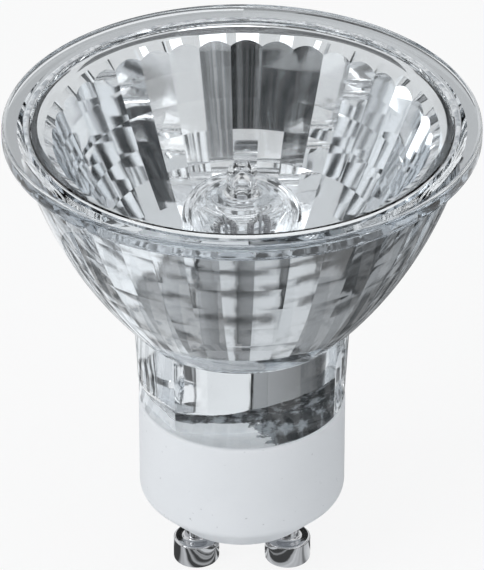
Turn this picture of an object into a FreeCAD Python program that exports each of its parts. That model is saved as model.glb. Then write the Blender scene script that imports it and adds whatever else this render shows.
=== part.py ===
"""Mains halogen spotlight bulb with a fluted glass reflector and a two-pin ceramic base.

Millimetres. +Z runs along the beam, the origin lies midway between the ends of the
contact pins, and the pins stand side by side along X.
"""

import FreeCAD
import Part
import Sketcher
import math
import os

# Driving sizes, each with the thing it measures
SIZES = [
    ("pin_length", 6.95, "pin ends to the underside of the base"),
    ("base_height", 14.65, "ceramic base"),
    ("neck_height", 10.0, "base rim to the foot of the bowl"),
    ("bowl_height", 22.15, "foot of the bowl to the flange"),
    ("rim_radius", 25.0, "outside of the flange"),
    ("rim_thickness", 1.85, "flange, top to underside"),
    ("rim_round", 0.5, "rounding of the flange edge"),
    ("rim_overhang", 1.61, "flange beyond the outside of the bowl"),
    ("bowl_curve_radius", 49.8, "curve of the outside of the bowl"),
    ("neck_setback", 0.07, "base beyond the foot of the neck"),
    ("neck_flare", 0.5, "neck under the bowl beyond its foot"),
    ("neck_foot_round", 0.35, "rounding of the neck's lower edge"),
    ("rim_width", 2.25, "flange, outside to the recess for the cover glass"),
    ("seat_depth", 1.5, "flange top down to the cover glass ledge"),
    ("ledge_width", 0.85, "flat ledge that carries the cover glass"),
    ("ledge_slope_width", 1.3, "sloping ring inside the ledge"),
    ("ledge_slope_drop", 0.5, "fall of the sloping ring"),
    ("bevel_depth", 1.6, "bevel between the ring and the flutes"),
    ("flute_setback", 0.6, "sloping ring to the flute ridges at its level"),
    ("mirror_floor_radius", 8.2, "flute ridges at the floor"),
    ("mirror_floor_rise", 0.4, "foot of the bowl to the floor of the mirror"),
    ("neck_hole_reach", 2.0, "neck hole above the floor, where its corners break out"),
    ("flute_count", 36, "flutes round the bowl"),
    ("flute_rows", 7, "straight rows down each flute"),
    ("flute_sag", 0.01, "depth of a flute over its width"),
    ("flute_mouth_sag", 0.13, "depth of a flute over its width at the mouth"),
    ("flute_turn", -1.4, "turn of the flutes against the pins, degrees"),
    ("pocket_length", 15.4, "hole through the neck, long side"),
    ("pocket_width", 10.0, "hole through the neck, short side"),
    ("pocket_turn", 12.5, "turn of the hole and capsule against the pins, degrees"),
    ("glass_thickness", 1.2, "cover glass"),
    ("glass_edge_bevel", 0.15, "bevel of the cover glass edges"),
    ("seal_width", 0.6, "bead between the cover glass and the flange"),
    ("seal_height", 1.05, "bead at the cover glass"),
    ("seal_climb", 0.15, "rise of the bead up the flange wall"),
    ("base_radius", 11.12, "ceramic base"),
    ("base_bevel", 3.35, "bevel round the foot of the base"),
    ("base_lip_round", 0.4, "rounding of the base rim"),
    ("base_wall", 1.82, "wall of the base"),
    ("base_floor", 4.6, "floor that carries the pins"),
    ("pin_spacing", 10.0, "between the pin centres"),
    ("pin_head_radius", 2.5, "pin head"),
    ("pin_head_height", 2.8, "pin head"),
    ("pin_head_bevel", 0.25, "bevel of the pin head edges"),
    ("pin_shank_radius", 1.25, "pin between head and base"),
    ("pin_play", 0.03, "room round the pin in the base"),
    ("rivet_radius", 1.9, "riveted inner end of the pin"),
    ("rivet_thickness", 0.6, "riveted inner end of the pin"),
    ("wiring_room", 4.05, "hollow of the base between its floor and the cement"),
    ("cement_rise", 2.3, "cement above the base rim, in the neck"),
    ("bulb_radius", 6.3, "quartz bulb"),
    ("bulb_wall", 0.95, "wall of the quartz bulb"),
    ("bulb_height", 13.8, "quartz bulb without its tip"),
    ("bulb_shoulder", 3.0, "rounding of the crown"),
    ("bulb_lift", 0.4, "floor of the mirror to the foot of the bulb"),
    ("bulb_foot_radius", 4.2, "lower end of the bulb"),
    ("bulb_foot_rise", 2.4, "taper from the foot to the full bulb"),
    ("tip_radius", 1.6, "sealed exhaust tip"),
    ("tip_height", 3.3, "sealed exhaust tip"),
    ("tip_blend", 0.6, "blend from the crown to the tip"),
    ("tip_round", 1.1, "rounded end of the tip"),
    ("tip_bore_radius", 0.7, "bore left in the tip"),
    ("tip_bore_height", 2.0, "bore left in the tip, above the crown"),
    ("pinch_width", 10.6, "flat pinch under the bulb"),
    ("pinch_thickness", 3.2, "flat pinch under the bulb"),
    ("foil_spacing", 5.4, "between the foil centres"),
    ("foil_width", 2.4, "molybdenum foil"),
    ("foil_thickness", 0.06, "molybdenum foil"),
    ("foil_length", 9.0, "molybdenum foil"),
    ("foil_lift", 2.9, "pinch end to the foil"),
    ("lead_radius", 0.3, "lead wires"),
    ("lead_bend", 1.2, "bend of the outer leads"),
    ("lead_socket", 5.5, "depth of the lead in the riveted end of the pin"),
    ("lead_reach", 5.6, "foot of the bulb to the upper end of the inner leads"),
    ("bridge_overhang", 0.9, "quartz bar beyond each lead"),
    ("bridge_width", 2.0, "quartz bar across the leads"),
    ("bridge_lift", 2.8, "foot of the bulb to the underside of the bar"),
    ("bridge_height", 1.5, "quartz bar across the leads"),
    ("filament_radius", 0.42, "filament coil"),
    ("crest_room", 2.25, "inside of the crown to the upper turns of the filament"),
    ("dip_rise", 0.6, "inner leads to the middle turn of the filament"),
    ("hook_radius", 0.14, "support wire"),
    ("hook_play", 0.04, "room between a hook and the coil"),
]


class Size:
    """A number together with the sheet formula that gives it."""

    def __init__(self, number, formula):
        self.number = number
        self.formula = formula

    def __add__(self, other):
        other = as_size(other)
        return Size(self.number + other.number, "(%s + %s)" % (self.formula, other.formula))

    def __radd__(self, other):
        return as_size(other) + self

    def __sub__(self, other):
        other = as_size(other)
        return Size(self.number - other.number, "(%s - %s)" % (self.formula, other.formula))

    def __rsub__(self, other):
        return as_size(other) - self

    def __mul__(self, other):
        other = as_size(other)
        return Size(self.number * other.number, "(%s * %s)" % (self.formula, other.formula))

    def __rmul__(self, other):
        return as_size(other) * self

    def __truediv__(self, other):
        other = as_size(other)
        return Size(self.number / other.number, "(%s / %s)" % (self.formula, other.formula))

    def __neg__(self):
        return as_size(0) - self

    def cosine(self):
        """Cosine of an angle in degrees."""
        return Size(math.cos(math.radians(self.number)), "cos(%s)" % self.formula)

    def sine(self):
        """Sine of an angle in degrees."""
        return Size(math.sin(math.radians(self.number)), "sin(%s)" % self.formula)


def as_size(value):
    """Return value as a Size; a plain number is its own formula."""
    if isinstance(value, Size):
        return value
    return Size(float(value), repr(float(value)))


class Sheet:
    """The spreadsheet of driving sizes; an attribute is the size of that name."""

    def __init__(self, document, rows):
        self.cells = document.addObject("Spreadsheet::Sheet", "dims")
        self.numbers = {}
        for line, (alias, number, note) in enumerate(rows, start=1):
            self.cells.set("A%d" % line, alias)
            self.cells.set("B%d" % line, str(number))
            self.cells.set("C%d" % line, note)
            self.cells.setAlias("B%d" % line, alias)
            self.numbers[alias] = number
        document.recompute()

    def __getattr__(self, alias):
        return Size(float(self.numbers[alias]), "dims.%s" % alias)


class Arc:
    """A rounded step of an outline, ending at (across, up)."""

    def __init__(self, across, up, radius, hollow=False):
        self.across = across
        self.up = up
        self.radius = radius
        self.hollow = hollow


doc = FreeCAD.newDocument("spotlight_bulb")
dim = Sheet(doc, SIZES)
nodes = []


def bind(thing, **sizes):
    """Tie properties of a document object to sheet formulas."""
    for path, size in sizes.items():
        thing.setExpression(path.replace("__", "."), as_size(size).formula)


def node(thing, label):
    """Name a finished piece and list it for export."""
    thing.Label = label
    nodes.append(thing)
    return thing


def origin_feature(body, role):
    """Return a plane or axis of the body's own origin."""
    for feature in body.Origin.OriginFeatures:
        if feature.Role == role:
            return feature
    raise ValueError("no origin feature " + role)


def arc_between(start, end, radius, hollow):
    """Return the short arc from start to end, bulging right of travel or, if hollow, left."""
    chord = end - start
    middle = (start + end) * 0.5
    half = chord.Length / 2.0
    lift = math.sqrt(max(radius * radius - half * half, 0.0))
    side = FreeCAD.Vector(-chord.y, chord.x, 0).normalize()
    if hollow:
        side = side * -1.0
    centre = middle + side * lift
    crest = centre - side * radius
    return Part.Arc(start, crest, end)


class Outline:
    """A closed sketch outline whose corners are tied to sheet formulas."""

    def __init__(self, body, name, plane):
        self.sketch = body.newObject("Sketcher::SketchObject", name)
        self.sketch.AttachmentSupport = [(origin_feature(body, plane), "")]
        self.sketch.MapMode = "FlatFace"

    def tie(self, kind, refs, size, name):
        """Add one driving constraint and tie it to its formula."""
        index = self.sketch.addConstraint(Sketcher.Constraint(kind, *refs, size.number))
        self.sketch.renameConstraint(index, name)
        self.sketch.setExpression("Constraints." + name, size.formula)

    def draw(self, corners):
        """Draw the closed outline through corners, given as (across, up) or Arc."""
        ends = []
        for corner in corners:
            if isinstance(corner, Arc):
                ends.append((as_size(corner.across), as_size(corner.up)))
            else:
                ends.append((as_size(corner[0]), as_size(corner[1])))
        points = [FreeCAD.Vector(across.number, up.number, 0) for across, up in ends]
        count = len(points)
        for index in range(count):
            following = corners[(index + 1) % count]
            start = points[index]
            end = points[(index + 1) % count]
            if isinstance(following, Arc):
                curve = arc_between(start, end, as_size(following.radius).number, following.hollow)
                self.sketch.addGeometry(curve, False)
            else:
                self.sketch.addGeometry(Part.LineSegment(start, end), False)
        starts = []
        finishes = []
        for index in range(count):
            curve = self.sketch.Geometry[index]
            forward = (curve.StartPoint - points[index]).Length < 1e-6
            starts.append(1 if forward else 2)
            finishes.append(2 if forward else 1)
        for index in range(count):
            following = (index + 1) % count
            joint = (index, finishes[index], following, starts[following])
            self.sketch.addConstraint(Sketcher.Constraint("Coincident", *joint))
        for index in range(count):
            across, up = ends[index]
            self.pin_corner(index, starts[index], across, up)
            following = corners[(index + 1) % count]
            if isinstance(following, Arc):
                self.tie("Radius", (index,), as_size(following.radius), "round_%d" % index)
        return self.sketch

    def pin_corner(self, curve, end, across, up):
        """Fix one corner of the outline at (across, up) from the origin."""
        if across.number == 0.0:
            self.sketch.addConstraint(Sketcher.Constraint("PointOnObject", curve, end, -2))
        else:
            self.tie("DistanceX", (-1, 1, curve, end), across, "across_%d" % curve)
        if up.number == 0.0:
            self.sketch.addConstraint(Sketcher.Constraint("PointOnObject", curve, end, -1))
        else:
            self.tie("DistanceY", (-1, 1, curve, end), up, "up_%d" % curve)


def turned_body(name, corners):
    """Return a body whose outline in the XZ plane is turned once about Z."""
    body = doc.addObject("PartDesign::Body", name)
    sketch = Outline(body, name + "_outline", "XZ_Plane").draw(corners)
    doc.recompute()
    turn = body.newObject("PartDesign::Revolution", name + "_turn")
    turn.Profile = sketch
    turn.ReferenceAxis = (sketch, ["V_Axis"])
    turn.Angle = 360.0
    sketch.Visibility = False
    doc.recompute()
    return body


def capsule_point(across, deep):
    """Return the X and Y of a point given along and across the turned neck hole."""
    cosine = dim.pocket_turn.cosine()
    sine = dim.pocket_turn.sine()
    return across * cosine - deep * sine, across * sine + deep * cosine


def turned_block(name, middle, length, width, low, high):
    """Return a block lying along the turned neck hole, centred on middle along it."""
    block = doc.addObject("Part::Box", name)
    x, y = capsule_point(middle - length / 2, -width / 2)
    bind(block, Length=length, Width=width, Height=high - low)
    bind(block, Placement__Base__x=x, Placement__Base__y=y, Placement__Base__z=low)
    bind(block, Placement__Rotation__Angle=dim.pocket_turn)
    return block


def upright_rod(name, middle, radius, low, high):
    """Return a rod parallel to Z, standing at middle along the turned neck hole."""
    rod = doc.addObject("Part::Cylinder", name)
    x, y = capsule_point(middle, as_size(0))
    bind(rod, Radius=radius, Height=high - low)
    bind(rod, Placement__Base__x=x, Placement__Base__y=y, Placement__Base__z=low)
    return rod


def joined(name, pieces):
    """Return the union of pieces."""
    union = doc.addObject("Part::MultiFuse", name)
    union.Shapes = pieces
    doc.recompute()
    return union


def cut(name, base, tool):
    """Return base with tool taken out of it."""
    difference = doc.addObject("Part::Cut", name)
    difference.Base = base
    difference.Tool = tool
    doc.recompute()
    return difference


def bent_wire(name, points, bend, radius):
    """Return a round wire along straight runs with rounded bends."""
    edges = []
    start = points[0]
    for before, corner, after in zip(points, points[1:], points[2:]):
        back = (before - corner).normalize()
        ahead = (after - corner).normalize()
        half_angle = back.getAngle(ahead) / 2.0
        reach = bend / math.tan(half_angle)
        inward = (back + ahead).normalize()
        crest = corner + inward * (bend / math.sin(half_angle) - bend)
        edges.append(Part.LineSegment(start, corner + back * reach).toShape())
        edges.append(Part.Arc(corner + back * reach, crest, corner + ahead * reach).toShape())
        start = corner + ahead * reach
    edges.append(Part.LineSegment(start, points[-1]).toShape())
    path = Part.Wire(edges)
    heading = points[1] - points[0]
    section = Part.Wire(Part.makeCircle(radius, points[0], heading))
    wire = doc.addObject("Part::Feature", name)
    wire.Shape = path.makePipeShell([section], True, False)
    return wire


def capsule_vector(across, up, deep=0):
    """Return a point given along, up and across the turned neck hole, as plain numbers."""
    x, y = capsule_point(as_size(across), as_size(deep))
    return FreeCAD.Vector(x.number, y.number, as_size(up).number)


# Levels and radii that several pieces share
base_bottom = dim.pin_length
floor_top = base_bottom + dim.base_floor
base_top = base_bottom + dim.base_height
bowl_foot = base_top + dim.neck_height
rim_under = bowl_foot + dim.bowl_height
rim_top = rim_under + dim.rim_thickness
seat_level = rim_top - dim.seat_depth
seat_radius = dim.rim_radius - dim.rim_width
ledge_inner_radius = seat_radius - dim.ledge_width
ring_inner_radius = ledge_inner_radius - dim.ledge_slope_width
ring_level = seat_level - dim.ledge_slope_drop
mirror_mouth_radius = ring_inner_radius - dim.flute_setback
mirror_floor = bowl_foot + dim.mirror_floor_rise
neck_foot_radius = dim.base_radius - dim.neck_setback
base_bore_radius = dim.base_radius - dim.base_wall
cement_low = floor_top + dim.wiring_room
cement_high = base_top + dim.cement_rise
rivet_top = floor_top + dim.rivet_thickness
bulb_foot = mirror_floor + dim.bulb_lift
bulb_top = bulb_foot + dim.bulb_height
lead_top = bulb_foot + dim.lead_reach
bridge_low = bulb_foot + dim.bridge_lift
foil_low = cement_low + dim.foil_lift
foil_high = foil_low + dim.foil_length
foil_offset = dim.foil_spacing / 2
pin_offset = dim.pin_spacing / 2

# Glass blank of the reflector: flange, bowl and neck
blank = turned_body("reflector_blank", [
    (0, base_top),
    (neck_foot_radius - dim.neck_foot_round, base_top),
    Arc(neck_foot_radius, base_top + dim.neck_foot_round, dim.neck_foot_round),
    (neck_foot_radius + dim.neck_flare, bowl_foot),
    Arc(dim.rim_radius - dim.rim_overhang, rim_under, dim.bowl_curve_radius),
    (dim.rim_radius - dim.rim_round, rim_under),
    Arc(dim.rim_radius, rim_under + dim.rim_round, dim.rim_round),
    (dim.rim_radius, rim_top - dim.rim_round),
    Arc(dim.rim_radius - dim.rim_round, rim_top, dim.rim_round),
    (0, rim_top),
])

# Mouth of the reflector: recess for the cover glass, sloping ring and bevel
mouth = turned_body("reflector_mouth", [
    (0, ring_level - dim.bevel_depth),
    (ring_inner_radius - dim.bevel_depth, ring_level - dim.bevel_depth),
    (ring_inner_radius, ring_level),
    (ledge_inner_radius, seat_level),
    (seat_radius, seat_level),
    (seat_radius, rim_top + dim.seat_depth),
    (0, rim_top + dim.seat_depth),
])


def flute_section(radius, level, sag):
    """Return the closed scalloped wire of the mirror bowl at one level."""
    count = int(round(dim.flute_count.number))
    step = 2.0 * math.pi / count
    chord = 2.0 * radius * math.sin(step / 2.0)
    crest = radius * math.cos(step / 2.0) + sag * chord
    edges = []
    for index in range(count):
        middle = math.radians(dim.flute_turn.number) + index * step
        angles = (middle - step / 2.0, middle, middle + step / 2.0)
        reaches = (radius, crest, radius)
        marks = []
        for angle, reach in zip(angles, reaches):
            marks.append(FreeCAD.Vector(reach * math.cos(angle), reach * math.sin(angle), level))
        edges.append(Part.Arc(*marks).toShape())
    return Part.Wire(edges)


def fluted_bowl():
    """Return the mirror bowl: straight rows of nearly flat flutes, hollowed at the mouth."""
    rows = int(round(dim.flute_rows.number))
    low = mirror_floor.number
    high = ring_level.number
    floor_square = dim.mirror_floor_radius.number ** 2
    mouth_square = mirror_mouth_radius.number ** 2
    sections = []
    for row in range(rows + 1):
        share = row / rows
        radius = math.sqrt(floor_square + (mouth_square - floor_square) * share)
        sag = dim.flute_mouth_sag.number if row == rows else dim.flute_sag.number
        sections.append(flute_section(radius, low + (high - low) * share, sag))
    bowl = doc.addObject("Part::Feature", "mirror_bowl")
    bowl.Shape = Part.makeLoft(sections, True, True)
    return bowl


neck_hole = turned_block(
    "neck_hole", as_size(0), dim.pocket_length, dim.pocket_width,
    base_top, mirror_floor + dim.neck_hole_reach)
cavity = joined("reflector_cavity", [fluted_bowl(), mouth, neck_hole])
reflector = node(cut("reflector_cut", blank, cavity), "reflector")

# Cover glass on its ledge, and the silicone bead round it
glass_radius = seat_radius - dim.seal_width
glass_top = seat_level + dim.glass_thickness
bevel = dim.glass_edge_bevel
node(turned_body("cover_disc", [
    (0, seat_level),
    (glass_radius - bevel, seat_level),
    (glass_radius, seat_level + bevel),
    (glass_radius, glass_top - bevel),
    (glass_radius - bevel, glass_top),
    (0, glass_top),
]), "cover_glass")
node(turned_body("cover_bead", [
    (glass_radius, seat_level),
    (seat_radius, seat_level),
    (seat_radius, seat_level + dim.seal_height + dim.seal_climb),
    (glass_radius, seat_level + dim.seal_height),
]), "cover_seal")

# Ceramic base with the two pin holes
base = turned_body("base_cup", [
    (0, base_bottom),
    (dim.base_radius - dim.base_bevel, base_bottom),
    (dim.base_radius, base_bottom + dim.base_bevel),
    (dim.base_radius, base_top - dim.base_lip_round),
    Arc(dim.base_radius - dim.base_lip_round, base_top, dim.base_lip_round),
    (base_bore_radius, base_top),
    (base_bore_radius, floor_top),
    (0, floor_top),
])


def pin_holes(sides):
    """Return the rods that clear the pin holes in the base."""
    rods = []
    for side, sign in sides:
        rod = doc.addObject("Part::Cylinder", "pin_hole_" + side)
        bind(rod, Radius=dim.pin_shank_radius + dim.pin_play, Height=floor_top)
        bind(rod, Placement__Base__x=pin_offset * sign)
        rods.append(rod)
    return rods


SIDES = (("left", -1), ("right", 1))
node(cut("base_cut", base, joined("pin_hole_pair", pin_holes(SIDES))), "ceramic_base")

# Headed contact pins, riveted inside the base, with a socket for the lead
lead_end = rivet_top - dim.lead_socket
for side, sign in SIDES:
    head = dim.pin_head_radius
    edge = dim.pin_head_bevel
    pin = turned_body("pin_" + side, [
        (0, 0),
        (head - edge, 0),
        (head, edge),
        (head, dim.pin_head_height - edge),
        (head - edge, dim.pin_head_height),
        (dim.pin_shank_radius, dim.pin_head_height),
        (dim.pin_shank_radius, floor_top),
        (dim.rivet_radius, floor_top),
        (dim.rivet_radius, rivet_top),
        (dim.lead_radius, rivet_top),
        (dim.lead_radius, lead_end),
        (0, lead_end),
    ])
    bind(pin, Placement__Base__x=pin_offset * sign)
    node(pin, "contact_pin_" + side)
doc.recompute()

# Halogen capsule: foils and leads first, then the quartz that closes round them
buried = []
inner_leads = []
for side, sign in SIDES:
    foil = turned_block(
        "foil_block_" + side, foil_offset * sign, dim.foil_width, dim.foil_thickness,
        foil_low, foil_high)
    lead = upright_rod(
        "lead_rod_" + side, foil_offset * sign, dim.lead_radius, foil_high, lead_top)
    inner_leads.append(lead)
    bend_high = cement_low - dim.lead_bend
    bend_low = rivet_top + dim.lead_bend
    tail = bent_wire("tail_wire_" + side, [
        capsule_vector(foil_offset * sign, foil_low),
        capsule_vector(foil_offset * sign, bend_high),
        FreeCAD.Vector(pin_offset.number * sign, 0, bend_low.number),
        FreeCAD.Vector(pin_offset.number * sign, 0, lead_end.number),
    ], dim.lead_bend.number, dim.lead_radius.number)
    buried.extend([foil, lead, tail])
    node(foil, "foil_" + side)
    node(lead, "inner_lead_" + side)
    node(tail, "outer_lead_" + side)
doc.recompute()

crown_radius = dim.bulb_radius - dim.bulb_shoulder
tip_top = bulb_top + dim.tip_height
bulb = turned_body("bulb_outside", [
    (0, bulb_foot),
    (dim.bulb_foot_radius, bulb_foot),
    (dim.bulb_radius, bulb_foot + dim.bulb_foot_rise),
    (dim.bulb_radius, bulb_top - dim.bulb_shoulder),
    Arc(crown_radius, bulb_top, dim.bulb_shoulder),
    (dim.tip_radius + dim.tip_blend, bulb_top),
    Arc(dim.tip_radius, bulb_top + dim.tip_blend, dim.tip_blend, hollow=True),
    (dim.tip_radius, tip_top - dim.tip_round),
    Arc(dim.tip_radius - dim.tip_round, tip_top, dim.tip_round),
    (0, tip_top),
])
inner_radius = dim.bulb_radius - dim.bulb_wall
inner_top = bulb_top - dim.bulb_wall
bore_top = bulb_top + dim.tip_bore_height
hollow = turned_body("bulb_inside", [
    (0, bulb_foot + dim.bulb_wall),
    (dim.bulb_foot_radius - dim.bulb_wall, bulb_foot + dim.bulb_wall),
    (inner_radius, bulb_foot + dim.bulb_foot_rise + dim.bulb_wall),
    (inner_radius, bulb_top - dim.bulb_shoulder),
    Arc(crown_radius, inner_top, dim.bulb_shoulder - dim.bulb_wall),
    (dim.tip_bore_radius, inner_top),
    (dim.tip_bore_radius, bore_top - dim.tip_bore_radius),
    Arc(0, bore_top, dim.tip_bore_radius),
])
pinch = turned_block(
    "pinch", as_size(0), dim.pinch_width, dim.pinch_thickness,
    cement_low, bulb_foot + dim.bulb_foot_rise)
quartz = joined("quartz_solid", [bulb, pinch])
emptied = joined("quartz_hollows", [hollow] + buried)
node(cut("quartz_cut", quartz, emptied), "capsule_envelope")

# Cement that fills the base rim and the foot of the neck hole, closed round the pinch
rim_fill = doc.addObject("Part::Cylinder", "rim_fill")
bind(rim_fill, Radius=base_bore_radius, Height=base_top - cement_low)
bind(rim_fill, Placement__Base__z=cement_low)
neck_fill = turned_block(
    "neck_fill", as_size(0), dim.pocket_length, dim.pocket_width, base_top, cement_high)
node(cut("cement_cut", joined("cement_fill", [rim_fill, neck_fill]), pinch), "base_cement")

# Filament in upright legs, one lead to the other
leg_spacing = dim.foil_spacing / 3
leg_bend = leg_spacing * 0.45
filament_crest = bulb_top - dim.bulb_wall - dim.crest_room
filament_dip = lead_top + dim.dip_rise
path = [capsule_vector(-foil_offset, lead_top)]
for leg, level in enumerate((filament_crest, filament_dip, filament_crest)):
    path.append(capsule_vector(-foil_offset + leg_spacing * leg, level))
    path.append(capsule_vector(-foil_offset + leg_spacing * (leg + 1), level))
path.append(capsule_vector(foil_offset, lead_top))
node(bent_wire("filament_path", path, leg_bend.number, dim.filament_radius.number), "filament")

# Support hooks bent over each turn of the filament, standing in the quartz bar
hook_reach = dim.filament_radius + dim.hook_play + dim.hook_radius
hook_bend = hook_reach * 0.9
hooks = []
for name, place, level in (
        ("left", -leg_spacing, filament_crest),
        ("middle", as_size(0), filament_dip),
        ("right", leg_spacing, filament_crest)):
    hook = bent_wire("hook_wire_" + name, [
        capsule_vector(place, bridge_low, -hook_reach),
        capsule_vector(place, level + hook_reach, -hook_reach),
        capsule_vector(place, level + hook_reach, hook_reach),
        capsule_vector(place, level - dim.filament_radius, hook_reach),
    ], hook_bend.number, dim.hook_radius.number)
    hooks.append(hook)
    node(hook, "hook_" + name)

# Quartz bar closed round the leads and hooks
bar = turned_block(
    "bar", as_size(0), dim.foil_spacing + dim.bridge_overhang * 2, dim.bridge_width,
    bridge_low, bridge_low + dim.bridge_height)
held = joined("bar_holes", hooks + inner_leads)
node(cut("bar_cut", bar, held), "bridge")
doc.recompute()

# Nodes leave only when every object is sound
for thing in doc.Objects:
    if "Invalid" in thing.State or "Error" in thing.State:
        raise RuntimeError("unsound object " + thing.Label)
os.makedirs("parts", exist_ok=True)
for piece in nodes:
    if piece.Shape.isNull() or not piece.Shape.isValid():
        raise RuntimeError("unsound shape " + piece.Label)
    piece.Shape.exportStep("parts/%s.step" % piece.Label)
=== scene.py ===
"""Mains halogen spotlight bulb: its pressed glass, mirror film, quartz, ceramic and metal.

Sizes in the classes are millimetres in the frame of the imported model: +Z along the beam,
the contact pins side by side along X, and the viewer of the photograph towards -Y.
"""

import logging
import math
from collections.abc import Iterable, Mapping, Sequence
from dataclasses import dataclass
from enum import Enum
from typing import Any

import bmesh
import bpy
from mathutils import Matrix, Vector, noise


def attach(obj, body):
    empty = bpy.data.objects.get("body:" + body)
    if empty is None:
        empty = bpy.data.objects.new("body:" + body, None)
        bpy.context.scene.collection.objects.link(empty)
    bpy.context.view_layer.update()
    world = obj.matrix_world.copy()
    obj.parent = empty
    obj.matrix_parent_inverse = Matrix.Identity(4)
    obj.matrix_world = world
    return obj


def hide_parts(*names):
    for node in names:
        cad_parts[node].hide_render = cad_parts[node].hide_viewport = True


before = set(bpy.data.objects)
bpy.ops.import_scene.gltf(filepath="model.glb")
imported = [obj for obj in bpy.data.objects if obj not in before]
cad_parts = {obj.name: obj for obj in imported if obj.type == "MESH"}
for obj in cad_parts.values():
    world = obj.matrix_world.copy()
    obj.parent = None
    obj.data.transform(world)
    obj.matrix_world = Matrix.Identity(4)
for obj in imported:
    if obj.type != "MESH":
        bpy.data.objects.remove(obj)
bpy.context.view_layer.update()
log = logging.getLogger("spotlight_bulb")

MM = 0.001
Flat = tuple[float, float]
Spot = tuple[float, float, float]
Colour = tuple[float, float, float]

WHITE: Colour = (1.0, 1.0, 1.0)
CARD_TINT: Colour = (0.97, 0.985, 1.0)
# Height that lamps and standing cards face
BULB_MIDDLE = 40.0
# How far a drill stands out of what it cuts
DRILL_REACH = 1.0
# Difference in height, in metres, from which an edge isn't level
SAME_LEVEL = 1e-6
# Start for the flats of a wire, which runs another way
ANY_WAY = Vector((0.3, 0.5, 0.8))
# How much finer each octave of a lumpy shape is than the one before
FINER = 2.1


class Fit(Enum):
    """How one closed mesh is worked against another."""

    TAKEN_OUT = "DIFFERENCE"
    JOINED_ON = "UNION"


class Wire:
    """A shader output that takes part in Python arithmetic."""

    def __init__(self, bench: "Bench", socket: bpy.types.NodeSocket) -> None:
        """Keep the socket and the bench that its nodes are on."""
        self.bench = bench
        self.socket = socket

    def _math(self, operation: str, first: Any, second: Any) -> "Wire":
        """Return the output of a new Math node for two values, each a Wire or a number."""
        return self.bench.wire("ShaderNodeMath", {"operation": operation}, {0: first, 1: second})

    def __add__(self, other: Any) -> "Wire":
        """Return self + other."""
        return self._math("ADD", self, other)

    def __sub__(self, other: Any) -> "Wire":
        """Return self - other."""
        return self._math("SUBTRACT", self, other)

    def __rsub__(self, other: Any) -> "Wire":
        """Return other - self."""
        return self._math("SUBTRACT", other, self)

    def __mul__(self, other: Any) -> "Wire":
        """Return self * other."""
        return self._math("MULTIPLY", self, other)

    def larger(self, other: Any) -> "Wire":
        """Return the larger of self and other."""
        return self._math("MAXIMUM", self, other)

    def off_whole(self) -> "Wire":
        """Return how far self is over the nearest whole number, less than 0 when under it."""
        return self._math("FRACT", self + 0.5, 0.0) - 0.5

    def angle(self, other: Any) -> "Wire":
        """Return the angle of the point whose height is self and whose width is other."""
        return self._math("ARCTAN2", self, other)


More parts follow.
